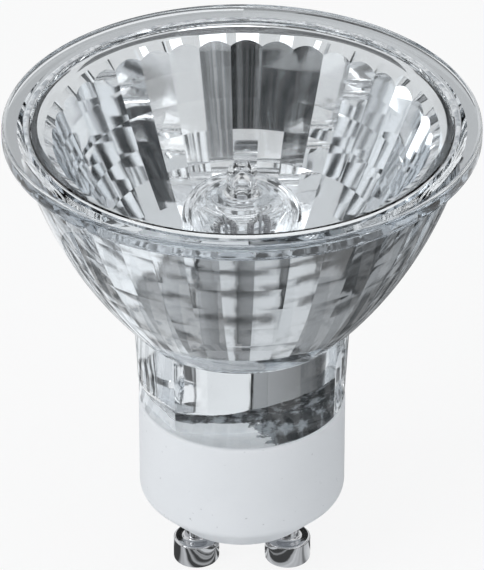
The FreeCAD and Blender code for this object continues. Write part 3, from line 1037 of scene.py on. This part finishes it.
@dataclass
class CeramicBase:
    """White ceramic base and the cement that holds the neck in it."""

    hole: NeckHole
    radius: float = 11.12
    low: float = 6.95
    high: float = 21.57
    bevel: float = 3.35
    lip_round: float = 0.4
    corner_round: float = 1.3
    foot_round: float = 0.5
    bore_radius: float = 9.3
    floor_top: float = 11.55
    pin_spacing: float = 10.0
    pin_hole_radius: float = 1.28
    pin_hole_steps: int = 48
    cement_high: float = 23.75
    cement_gap: float = 0.02
    fill_gap: float = 0.06
    fill_depth: float = 3.0
    fill_grid: tuple[int, int] = (46, 30)
    fill_sink: float = 0.25
    fill_crest: float = 0.1
    lump_height: float = 0.35
    lump_pace: float = 0.7
    lump_calm: float = 0.9
    steps: int = 160
    plug_steps: int = 96
    edge_angle: float = 24.0
    cement_edge_angle: float = 50.0

    def outline(self) -> list[Flat]:
        """Return the outline of the cup from the middle of its foot to the middle of its floor.

        Returns:
            Radius and height of its points.
        """
        slope, half_turn = math.sqrt(0.5), math.radians(22.5)
        foot, corner = self.radius - self.bevel, self.low + self.bevel
        foot_cut, corner_cut = (curl * math.tan(half_turn) for curl in (self.foot_round, self.corner_round))
        line = [(foot * 0.5, self.low), (foot - foot_cut, self.low)]
        line += arc(line[-1], (foot + foot_cut * slope, self.low + foot_cut * slope), self.foot_round, 5)
        line += run(line[-1], (self.radius - corner_cut * slope, corner - corner_cut * slope), 3)
        line += arc(line[-1], (self.radius, corner + corner_cut), self.corner_round, 7)
        line += run(line[-1], (self.radius, self.high - self.lip_round), 4)
        line += arc(line[-1], (self.radius - self.lip_round, self.high), self.lip_round, 6)
        line += run(line[-1], (self.bore_radius, self.high), 2)
        line += run(line[-1], (self.bore_radius, self.floor_top), 3)
        line += [(self.bore_radius * 0.5, self.floor_top)]
        return line

    def build_cup(self) -> None:
        """Build the ceramic cup with its two pin holes."""
        shape = Shaping()
        shape.closed(shape.turned(self.outline(), even_bearings(self.steps)))
        cup = shape.piece("ceramic_cup", (CERAMIC,))
        for centre in (-self.pin_spacing / 2.0, self.pin_spacing / 2.0):
            drill = Shaping()
            ends = [(self.pin_hole_radius, self.low - DRILL_REACH),
                    (self.pin_hole_radius, self.floor_top + DRILL_REACH)]
            drill.closed(drill.turned(ends, even_bearings(self.pin_hole_steps), centre))
            worked(cup, drill.piece("pin_drill", (CERAMIC,)), Fit.TAKEN_OUT)
        crisp(cup, self.edge_angle)
        fitted(cup, "ceramic", "ceramic_base")

    def build_cement(self) -> None:
        """Build the cement: a plug in the cup and a crumbly fill in the neck hole."""
        shape = Shaping()
        low, radius = self.hole.pinch_low, self.bore_radius - self.cement_gap
        ends = [(radius, low), (radius, self.high - self.cement_gap)]
        shape.closed(shape.turned(ends, even_bearings(self.plug_steps)))
        plug = shape.piece("cement_fill", (CEMENT,))
        worked(plug, self._lumpy_fill(), Fit.JOINED_ON)
        pinch = self.hole.block("pinch_space", *self.hole.pinch, low - DRILL_REACH,
                                self.cement_high + 2.0 * DRILL_REACH, (CEMENT,))
        worked(plug, pinch, Fit.TAKEN_OUT)
        crisp(plug, self.cement_edge_angle)
        fitted(plug, "cement", "base_cement")

    def _lumpy_fill(self) -> bpy.types.Object:
        """Return the fill of the neck hole with an uneven top.

        Returns:
            A closed mesh.
        """
        shape = Shaping()
        length, width = self.hole.length - self.fill_gap, self.hole.width - self.fill_gap
        columns, lines = self.fill_grid
        grid = []
        for line in range(lines + 1):
            row = []
            for column in range(columns + 1):
                along = length * (column / columns - 0.5)
                deep = width * (line / lines - 0.5)
                seed = Vector((along, deep, 3.0)) * self.lump_pace
                lump = noise.fractal(seed, self.lump_calm, FINER, 5) * self.lump_height
                height = min(self.cement_high - self.fill_sink + lump, self.cement_high + self.fill_crest)
                row.append(self.hole.place(along, deep, height))
            grid.append(shape.ring(row))
        for near, far in zip(grid, grid[1:]):
            for column in range(columns):
                shape.face((near[column], near[column + 1], far[column + 1], far[column]))
        border = grid[0][:-1] + [row[-1] for row in grid[:-1]] + grid[-1][:0:-1]
        border += [row[0] for row in grid[:0:-1]]
        foot = shape.ring((*shape.points[number][:2], self.high - self.fill_depth) for number in border)
        shape.strip(foot, border)
        shape.face(foot[::-1])
        return shape.piece("lumpy_fill", (CEMENT,))


@dataclass
class ContactPin:
    """Headed twist-lock pin, riveted in the base."""

    side: str
    across: float
    floor_top: float
    head_radius: float = 2.5
    head_height: float = 2.8
    head_edge: float = 0.25
    shank_radius: float = 1.25
    shank_flare: float = 0.35
    rivet_radius: float = 1.9
    rivet_height: float = 0.6
    rivet_round: float = 0.2
    rivet_gap: float = 0.01
    edge_angle: float = 30.0
    steps: int = 96

    def outline(self) -> list[Flat]:
        """Return the outline from the middle of the end to the middle of the rivet.

        Returns:
            Radius and height of its points.
        """
        head, edge = self.head_radius, self.head_edge
        top = self.floor_top + self.rivet_height
        line = [(head * 0.5, 0.0), (head - edge, 0.0)]
        line += arc(line[-1], (head, edge), edge, 4)
        line += run(line[-1], (head, self.head_height - edge), 3)
        line += arc(line[-1], (head - edge, self.head_height), edge, 4)
        line += run(line[-1], (self.shank_radius + self.shank_flare, self.head_height), 2)
        line += arc(line[-1], (self.shank_radius, self.head_height + self.shank_flare),
                    self.shank_flare, 5, hollow=True)
        line += run(line[-1], (self.shank_radius, self.floor_top), 4)
        line += [(self.rivet_radius, self.floor_top + self.rivet_gap),
                 (self.rivet_radius, top - self.rivet_round)]
        line += arc(line[-1], (self.rivet_radius - self.rivet_round, top), self.rivet_round, 3)
        return line

    def build(self) -> None:
        """Build the pin."""
        shape = Shaping()
        shape.closed(shape.turned(self.outline(), even_bearings(self.steps), self.across))
        piece = shape.piece("plated_pin_" + self.side, (NICKEL,))
        crisp(piece, self.edge_angle)
        fitted(piece, "pin_metal", "contact_pin_" + self.side)


@dataclass
class Capsule:
    """Quartz halogen capsule with its tip, pinch and coiled filament."""

    hole: NeckHole
    radius: float = 6.3
    wall: float = 0.95
    top: float = 46.2
    shoulder: float = 3.0
    taper_top: float = 34.8
    foot: float = 32.4
    tip_radius: float = 1.6
    tip_height: float = 3.3
    tip_blend: float = 0.6
    tip_round: float = 1.1
    bore_radius: float = 0.7
    bore_top: float = 48.2
    bore_blend: float = 0.3
    bore_end: float = 0.12
    floor_flat: float = 1.6
    floor_edge: Flat = (3.2, 0.05)
    floor_round: float = 3.4
    pinch_middle: float = 24.0
    pinch_top: float = 30.0
    pinch_power: float = 8.0
    taper_steps: int = 9
    lead_offset: float = 2.7
    lead_top: float = 38.0
    crest: float = 43.0
    dip: float = 38.6
    leg_steps: int = 30
    bend_steps: int = 12
    coil_radius: float = 0.33
    coil_wire: float = 0.085
    coil_pitch: float = 0.3
    coil_steps: int = 10
    wire_sides: int = 6
    edge_angle: float = 40.0
    steps: int = 120

    def crown(self) -> list[Flat]:
        """Return the outline from the taper over the crown to the end of the tip.

        Returns:
            Radius and height of its points.
        """
        tip = self.top + self.tip_height
        line = [(self.radius, self.taper_top)]
        line += run(line[-1], (self.radius, self.top - self.shoulder), 4)
        line += arc(line[-1], (self.radius - self.shoulder, self.top), self.shoulder, 12)
        line += run(line[-1], (self.tip_radius + self.tip_blend, self.top), 2)
        line += arc(line[-1], (self.tip_radius, self.top + self.tip_blend), self.tip_blend, 6, hollow=True)
        line += run(line[-1], (self.tip_radius, tip - self.tip_round), 2)
        line += arc(line[-1], (self.tip_radius - self.tip_round, tip), self.tip_round, 7)
        return line

    def inside(self) -> list[Flat]:
        """Return the outline of the hollow from its foot to the end of the bore in the tip.

        Returns:
            Radius and height of its points.
        """
        inner, ceiling = self.radius - self.wall, self.top - self.wall
        curl, blend, floor = self.shoulder - self.wall, self.bore_blend, self.foot + self.wall
        line = [(self.floor_flat, floor), (self.floor_edge[0], floor + self.floor_edge[1])]
        line += arc(line[-1], (inner, self.taper_top + self.wall), self.floor_round, 7)
        line += run(line[-1], (inner, self.top - self.shoulder), 4)
        line += arc(line[-1], (inner - curl, ceiling), curl, 9)
        line += run(line[-1], (self.bore_radius + blend, ceiling), 3)
        line += arc(line[-1], (self.bore_radius, ceiling + blend), blend, 4, hollow=True)
        line += run(line[-1], (self.bore_radius, self.bore_top - self.bore_radius), 2)
        line += arc(line[-1], (self.bore_end, self.bore_top), self.bore_radius, 5)
        return line

    def pinch_ring(self, share: float, height: float) -> list[Spot]:
        """Return a ring between the round bulb and the flat pinch.

        Args:
            share: 0 for the round bulb, 1 for the pinch.
            height: level of the ring.

        Returns:
            The ring's points.
        """
        power = self.pinch_power
        length, width = self.hole.pinch
        points = []
        for bearing in even_bearings(self.steps):
            cosine, sine = math.cos(bearing), math.sin(bearing)
            flat = (abs(cosine) ** power + abs(sine) ** power) ** (-1.0 / power)
            along = cosine * (self.radius * (1 - share) + flat * length / 2 * share)
            deep = sine * (self.radius * (1 - share) + flat * width / 2 * share)
            points.append(self.hole.place(along, deep, height))
        return points

    def build_quartz(self) -> None:
        """Build the quartz envelope."""
        turn = math.radians(self.hole.turn)
        bearings = [bearing + turn for bearing in even_bearings(self.steps)]
        shape = Shaping()
        rings = [shape.ring(self.pinch_ring(1.0, level))
                 for level in (self.hole.pinch_low, self.pinch_middle, self.pinch_top)]
        for step in range(1, self.taper_steps):
            share = step / self.taper_steps
            eased = share * share * (3.0 - 2.0 * share)
            level = self.pinch_top + (self.taper_top - self.pinch_top) * share
            rings.append(shape.ring(self.pinch_ring(1.0 - eased, level)))
        shape.closed(rings + shape.turned(self.crown(), bearings))
        shape.closed(shape.turned(self.inside(), bearings)[::-1])
        piece = shape.piece("quartz_capsule", (QUARTZ,))
        crisp(piece, self.edge_angle)
        fitted(piece, "quartz", "capsule_envelope")

    def filament_line(self) -> list[Vector]:
        """Return closely spaced points along the filament's legs and turns.

        Returns:
            The points in the frame.
        """
        spacing = self.lead_offset * 2.0 / 3.0
        bend = spacing * 0.5
        line = [(-self.lead_offset, self.lead_top)]
        for leg, level in enumerate((self.crest, self.dip, self.crest)):
            start = -self.lead_offset + spacing * leg
            sign = -1.0 if level == self.dip else 1.0
            line += run(line[-1], (start, level - sign * bend), self.leg_steps)
            for step in range(1, self.bend_steps + 1):
                turn = math.pi * step / self.bend_steps
                line.append((start + bend - bend * math.cos(turn),
                             level - sign * bend + sign * bend * math.sin(turn)))
        line += run(line[-1], (self.lead_offset, self.lead_top), self.leg_steps)
        return [Vector(self.hole.place(along, 0.0, height)) for along, height in line]

    def build_coil(self) -> None:
        """Build the coiled filament."""
        line = self.filament_line()
        lengths = [0.0]
        for before, after in zip(line, line[1:]):
            lengths.append(lengths[-1] + (after - before).length)
        sideways = Vector(self.hole.place(0.0, 1.0, 0.0))
        count = int(lengths[-1] / self.coil_pitch * self.coil_steps)
        path = []
        segment = 0
        for index in range(count + 1):
            place = lengths[-1] * index / count
            while segment < len(line) - 2 and lengths[segment + 1] < place:
                segment += 1
            span = lengths[segment + 1] - lengths[segment]
            share = (place - lengths[segment]) / span
            heading = (line[segment + 1] - line[segment]).normalized()
            across = sideways.cross(heading).normalized()
            turn = 2.0 * math.pi * index / self.coil_steps
            middle = line[segment].lerp(line[segment + 1], share)
            path.append(middle + (across * math.cos(turn) + sideways * math.sin(turn)) * self.coil_radius)
        piece = tube("tungsten_coil", path, self.coil_wire, self.wire_sides, TUNGSTEN)
        fitted(piece, "tungsten", "filament")


def tube(name: str, path: Sequence[Vector], radius: float, sides: int, finish: Finish) -> bpy.types.Object:
    """Return a round wire along a path.

    Args:
        name: the object's name.
        path: points along the middle of the wire.
        radius: radius of the wire.
        sides: flats round the wire.
        finish: the wire's finish.

    Returns:
        The wire.
    """
    shape = Shaping()
    rings = []
    normal = ANY_WAY
    for index, point in enumerate(path):
        heading = (path[min(index + 1, len(path) - 1)] - path[max(index - 1, 0)]).normalized()
        normal = (normal - heading * normal.dot(heading)).normalized()
        side = heading.cross(normal)
        rings.append(shape.ring(
            tuple(point + (normal * math.cos(turn) + side * math.sin(turn)) * radius)
            for turn in even_bearings(sides)))
    shape.closed(rings)
    return shape.piece(name, (finish,))


@dataclass
class InnerMetal:
    """Leads, foils, hooks and quartz bar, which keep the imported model's own solids."""

    wires: tuple[str, ...] = (
        "foil_left", "foil_right", "inner_lead_left", "inner_lead_right", "outer_lead_left",
        "outer_lead_right", "hook_left", "hook_middle", "hook_right")
    bar: str = "bridge"

    def dress(self) -> None:
        """Give each solid its finish."""
        for name in self.wires:
            self._give(name, DRAWN_WIRE)
        self._give(self.bar, QUARTZ)

    @staticmethod
    def _give(name: str, finish: Finish) -> None:
        """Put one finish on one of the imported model's nodes.

        Args:
            name: the node's name.
            finish: the finish.
        """
        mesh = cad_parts[name].data
        mesh.materials.clear()
        mesh.materials.append(finish.material())
        log.info("%s keeps its solid, finish %s", name, finish.name)


def background(bench: Bench) -> Wire:
    """Return 1 for rays that see the background: the camera's, mirrored and refracted ones."""
    seen = bench.ray("Is Camera Ray").larger(bench.ray("Is Glossy Ray"))
    return seen.larger(bench.ray("Is Transmission Ray"))


def glow(bench: Bench, shade: float) -> Wire:
    """Return a plain surface that looks this bright whatever the lamps do."""
    return bench.light(tuple(shade * part for part in CARD_TINT))


@dataclass(frozen=True)
class FadingCard(Finish):
    """Studio card that fades from one side to the other."""

    shade: float
    far_shade: float
    start: float
    end: float

    def shader(self, bench: Bench) -> Wire:
        """Return the card."""
        share = bench.spread(bench.bearing(), math.radians(self.start), math.radians(self.end), 0.0, 1.0)
        return bench.either(share, glow(bench, self.shade), glow(bench, self.far_shade))


@dataclass(frozen=True)
class StripedCard(Finish):
    """Studio cloth whose folds are uneven light and dark strips that run away from the bulb."""

    dark: float
    pale: float
    strip: float = 2.0
    cut: float = 0.47
    soft: float = 0.06

    def shader(self, bench: Bench) -> Wire:
        """Return the cloth."""
        folds = bench.uneven(bench.bearing() * (1.0 / math.radians(self.strip)))
        return bench.either(bench.past(folds, self.cut, self.soft),
                            glow(bench, self.pale), glow(bench, self.dark))


@dataclass(frozen=True)
class SpokedCard(Finish):
    """Studio card with spokes in step with the flutes: pale, then a dark line, then grey.

    Broken dark rings lie over the spokes.
    """

    pale: float
    grey: float
    dark: float = 0.03
    grey_range: Flat = (0.4, 1.6)
    hub: float = 34.0
    pitch: float = 12.2
    first: float = -1.7
    line: float = 0.014
    edge_soft: float = 0.002
    stagger: float = 0.12
    stagger_pace: float = 0.9
    ring: float = 5.5
    first_ring: float = 23.5
    ring_edges: Flat = (0.05, 0.27)
    ring_share: float = 0.85
    ragged_size: float = 1.4
    ragged_part: float = 0.6
    patch_size: float = 4.0

    def rings(self, bench: Bench) -> Wire:
        """Return how much of the spokes the broken rings hide.

        Args:
            bench: the tree that the nodes go on.

        Returns:
            The share, 0 between the rings.
        """
        radius = bench.wire("ShaderNodeVectorMath", {"operation": "LENGTH"}, {0: bench.spot()}, 1)
        rows = (radius - self.first_ring * MM) * (1.0 / (self.ring * MM))
        ragged = (bench.grain(self.ragged_size, 4.0, 0.7) - 0.5) * self.ragged_part
        place = (rows + ragged).off_whole()
        hidden = bench.spread(place.larger(place * -1.0), *self.ring_edges, self.ring_share, 0.0)
        return hidden * bench.past(bench.grain(self.patch_size, 2.0), 0.5, 0.06)

    def shader(self, bench: Bench) -> Wire:
        """Return the card.

        Args:
            bench: the tree that the nodes go on.

        Returns:
            The shader.
        """
        turns = (bench.bearing(self.hub) - math.radians(self.first)) * (1.0 / math.radians(self.pitch))
        uneven = bench.uneven(turns, self.stagger_pace)
        phase = (turns + (uneven - 0.5) * self.stagger).off_whole()
        darker, paler = (glow(bench, self.grey * part) for part in self.grey_range)
        tone = bench.either(bench.past(uneven, 0.5, 0.15), darker, paler)
        lined = bench.either(bench.past(phase, self.line, self.edge_soft), glow(bench, self.dark), tone)
        spokes = bench.either(bench.past(phase, 0.0, self.edge_soft), glow(bench, self.pale), lined)
        return bench.either(self.rings(bench), spokes, glow(bench, self.dark))


@dataclass
class Card:
    """Studio card that only mirrored and refracted rays meet.

    Bearings are degrees from the camera's side, to the right; the card is a part of a ring.
    """

    # Height of a lying card over the floor, and degrees of the ring that one face takes up
    LIFT = 0.1
    FACE_TURN = 4.0

    name: str
    start: float
    end: float
    finish: Finish
    near: Flat
    far: Flat

    @classmethod
    def standing(cls, name: str, start: float, end: float, low: float, high: float,
                 dark: float, pale: float, distance: float = 480.0,
                 strip: float = 2.0, cut: float = 0.47) -> "Card":
        """Return an upright cloth between two elevations.

        Args:
            name: the card's name.
            start: bearing of its left end.
            end: bearing of its right end.
            low: elevation of its foot in degrees, seen from the bulb.
            high: elevation of its top.
            dark: how bright its dark folds look, 1 being white.
            pale: how bright its pale folds look.
            distance: how far from the axis it stands.
            strip: width of a fold in degrees.
            cut: level of the folds' unevenness from which they are dark.

        Returns:
            The card.
        """
        foot, top = (BULB_MIDDLE + distance * math.tan(math.radians(angle)) for angle in (low, high))
        finish = StripedCard(name + "_cloth", dark, pale, strip, cut)
        return cls(name, start, end, finish, (distance, foot), (distance, top))

    @classmethod
    def lying(cls, name: str, start: float, end: float, inner: float, outer: float,
              finish: Finish) -> "Card":
        """Return a card that lies on the floor between two radii."""
        return cls(name, start, end, finish, (inner, cls.LIFT), (outer, cls.LIFT))

    def build(self) -> None:
        """Set the card up."""
        shape = Shaping()
        sweep = self.end - self.start
        count = max(2, round(abs(sweep) / self.FACE_TURN))
        bearings = [math.radians(self.start + sweep * step / count) for step in range(count + 1)]
        near, far = (shape.ring((radius * math.sin(bearing), -radius * math.cos(bearing), height)
                                for bearing in bearings) for radius, height in (self.near, self.far))
        for step in range(count):
            shape.face((near[step], near[step + 1], far[step + 1], far[step]))
        card = shape.piece(self.name, (self.finish,))
        card.visible_camera = False
        card.visible_diffuse = False
        card.visible_shadow = False


@dataclass(frozen=True)
class PaleFloor(Finish):
    """Pale floor that is white behind the bulb and keeps its shadow."""

    white_share: float = 0.86
    pale: Colour = (0.86, 0.87, 0.88)
    dull: Colour = (0.83, 0.84, 0.85)
    haze: Flat = (0.85, 0.95)
    cloud_size: float = 40.0

    def shader(self, bench: Bench) -> Wire:
        """Return the floor.

        Args:
            bench: the tree that the nodes go on.

        Returns:
            The shader.
        """
        paper = bench.grain(self.cloud_size, 2.0)
        matt = bench.surface({
            "Base Color": bench.tinted(paper, self.pale, self.dull),
            "Roughness": bench.usual(paper, *self.haze), "Specular IOR Level": 0.2})
        return bench.either(background(bench) * self.white_share, matt, bench.light(WHITE))


@dataclass
class Softbox:
    """Soft lamp that faces the bulb."""

    name: str
    middle: Spot
    size: Flat
    glow: float

    def build(self) -> None:
        """Hang the lamp; glow is how bright its face looks, 1 being white."""
        width, height = (part * MM for part in self.size)
        lamp = bpy.data.lights.new(self.name, "AREA")
        lamp.shape = "RECTANGLE"
        lamp.size, lamp.size_y = width, height
        lamp.energy = self.glow * math.pi * width * height
        made = bpy.data.objects.new(self.name, lamp)
        made.location = Vector(self.middle) * MM
        towards = Vector((0.0, 0.0, BULB_MIDDLE * MM)) - made.location
        made.rotation_euler = towards.to_track_quat("-Z", "Y").to_euler()
        made.visible_camera = False
        bpy.context.scene.collection.objects.link(made)


@dataclass
class Studio:
    """Floor, soft lamps, cards and camera."""

    target_height: float = 35.263
    elevation: float = 32.448
    distance: float = 509.28
    lens: float = 303.14
    sensor: float = 36.0
    nearest: float = 10.0
    floor_half: float = 3000.0
    room_tint: Colour = (0.96, 0.98, 1.0)
    ambient: float = 0.5
    ray_turns: int = 20

    def build(self) -> None:
        """Set the stage up and point the camera."""
        self._lay_floor()
        self._set_world()
        # Name, middle, width and height, brightness
        for box in (
                Softbox("left_softbox", (-430.0, -360.0, 420.0), (360.0, 360.0), 3.5),
                Softbox("right_softbox", (430.0, -330.0, 400.0), (300.0, 360.0), 0.5),
                Softbox("top_softbox", (40.0, -60.0, 760.0), (420.0, 420.0), 1.5)):
            box.build()
        for card in self._cards():
            card.build()
        self._follow_rays()
        self._point_camera()

    def _follow_rays(self) -> None:
        """Let rays turn often enough to find their way out of the glass between film and air."""
        paths = bpy.context.scene.cycles
        paths.max_bounces = self.ray_turns
        paths.glossy_bounces = self.ray_turns
        paths.transmission_bounces = self.ray_turns
        paths.transparent_max_bounces = self.ray_turns

    @staticmethod
    def _cards() -> list[Card]:
        """Return the cards that the mirror, the glass and the pins show.

        Returns:
            The standing cards, then those on the floor.
        """
        stand, lie = Card.standing, Card.lying
        return [
            # Name, bearings of the ends, elevations of foot and top, dark and pale folds
            stand("left_post", -72.0, -61.0, -4.0, 16.0, 0.03, 0.12),
            stand("front_dark", -50.0, -29.0, -4.0, 23.0, 0.02, 0.15),
            stand("front_black", -29.0, -9.0, -4.0, 21.4, 0.02, 0.1),
            stand("front_middle", -9.0, 8.0, -4.0, 23.0, 0.03, 0.25),
            stand("front_right", 8.0, 29.0, -4.0, 25.0, 0.3, 0.65),
            stand("right_post", 62.0, 84.0, -4.0, 15.0, 0.03, 0.15),
            stand("right_side", 92.0, 122.0, 14.0, 33.0, 0.08, 0.35),
            stand("right_back", 130.0, 141.0, 20.0, 34.0, 0.1, 0.3),
            stand("back", 168.0, 192.0, -4.0, 42.0, 0.02, 0.05),
            stand("left_back", -156.0, -138.0, 20.0, 36.0, 0.1, 0.4),
            stand("front_sky_left", -66.0, -24.0, 25.0, 56.0, 0.05, 1.4, cut=0.54),
            stand("front_sky_right", 22.0, 62.0, 21.0, 56.0, 0.05, 1.4, cut=0.5),
            stand("front_sky_middle", -24.0, 22.0, 30.0, 50.0, 0.04, 1.4, strip=3.0, cut=0.51),
            stand("dark_flute", -50.0, -30.0, 42.0, 60.0, 0.03, 0.15, 470.0),
            stand("left_wing", -106.0, -70.0, 25.0, 50.0, 0.06, 1.25, strip=6.0, cut=0.5),
            stand("right_wing", 70.0, 106.0, 36.0, 50.0, 0.06, 1.25, strip=6.0, cut=0.5),
            stand("high_back", 165.0, 195.0, 46.0, 80.0, 0.15, 0.35, 160.0),
            # Name, bearings of the ends, inner and outer radius, finish
            lie("pin_strips", -180.0, 180.0, 0.0, 12.5,
                StripedCard("pin_card", 0.08, 0.85, 26.0, 0.48, 0.05)),
            lie("flute_spokes", -180.0, -12.0, 12.5, 42.0,
                SpokedCard("flute_card", 1.1, 0.45, line=0.03)),
            lie("front_spokes", -12.0, 60.0, 12.5, 42.0,
                SpokedCard("front_flute_card", 0.75, 0.2, line=0.02)),
            lie("right_spokes", 60.0, 180.0, 12.5, 88.0,
                SpokedCard("right_flute_card", 0.4, 0.1)),
            lie("left_spokes", -180.0, -60.0, 42.0, 57.0,
                SpokedCard("left_flute_card", 0.95, 0.15, line=0.05)),
            lie("rim_grey", 145.0, 215.0, 88.0, 145.0,
                FadingCard("rim_card", 0.55, 0.6, -180.0, 180.0)),
            lie("neck_line", 24.2, 25.4, 42.0, 80.0,
                FadingCard("neck_line_card", 0.0, 0.02, 24.0, 26.0)),
            lie("neck_fade", -34.0, 24.2, 42.0, 80.0,
                FadingCard("neck_card", 0.0, 0.4, -16.0, 24.0))]

    def _lay_floor(self) -> None:
        """Lay the floor that the pins stand on."""
        shape = Shaping()
        half = self.floor_half
        corners = [(-half, -half, 0.0), (half, -half, 0.0), (half, half, 0.0), (-half, half, 0.0)]
        shape.face(shape.ring(corners))
        shape.piece("pale_floor", (PaleFloor("pale_floor"),))

    def _set_world(self) -> None:
        """Give the room its even glow, white where the camera looks past the floor."""
        world = bpy.data.worlds.new("studio_room")
        world.use_nodes = True
        bench = Bench(world.node_tree)
        room = bench.light(self.room_tint, self.ambient, "ShaderNodeBackground")
        white = bench.light(WHITE, kind="ShaderNodeBackground")
        bench.show(bench.either(background(bench), room, white), "ShaderNodeOutputWorld")
        bpy.context.scene.world = world

    def _point_camera(self) -> None:
        """Put the camera where the photograph was taken from."""
        lens = bpy.data.cameras.new("photograph_view")
        lens.lens = self.lens
        lens.sensor_width = self.sensor
        lens.clip_start = self.nearest * MM
        camera = bpy.data.objects.new("photograph_view", lens)
        rise = math.radians(self.elevation)
        back = Vector((0.0, -math.cos(rise), math.sin(rise)))
        camera.location = (Vector((0.0, 0.0, self.target_height)) + back * self.distance) * MM
        camera.rotation_euler = (-back).to_track_quat("-Z", "Y").to_euler()
        bpy.context.scene.collection.objects.link(camera)
        bpy.context.scene.camera = camera


def main() -> None:
    """Build the bulb's pieces and the stage."""
    logging.basicConfig(level=logging.INFO, format="%(name)s: %(message)s")
    bpy.context.scene.view_settings.view_transform = "Standard"
    Studio().build()
    hole = NeckHole()
    reflector = Reflector(hole)
    reflector.build()
    cover = FrontGlass(reflector.seat_radius)
    cover.build_glass()
    cover.build_bead()
    base = CeramicBase(hole)
    base.build_cup()
    base.build_cement()
    for side, sign in (("left", -1.0), ("right", 1.0)):
        ContactPin(side, sign * base.pin_spacing / 2.0, base.floor_top).build()
    capsule = Capsule(hole)
    capsule.build_quartz()
    capsule.build_coil()
    InnerMetal().dress()


if __name__ == "__main__":
    main()
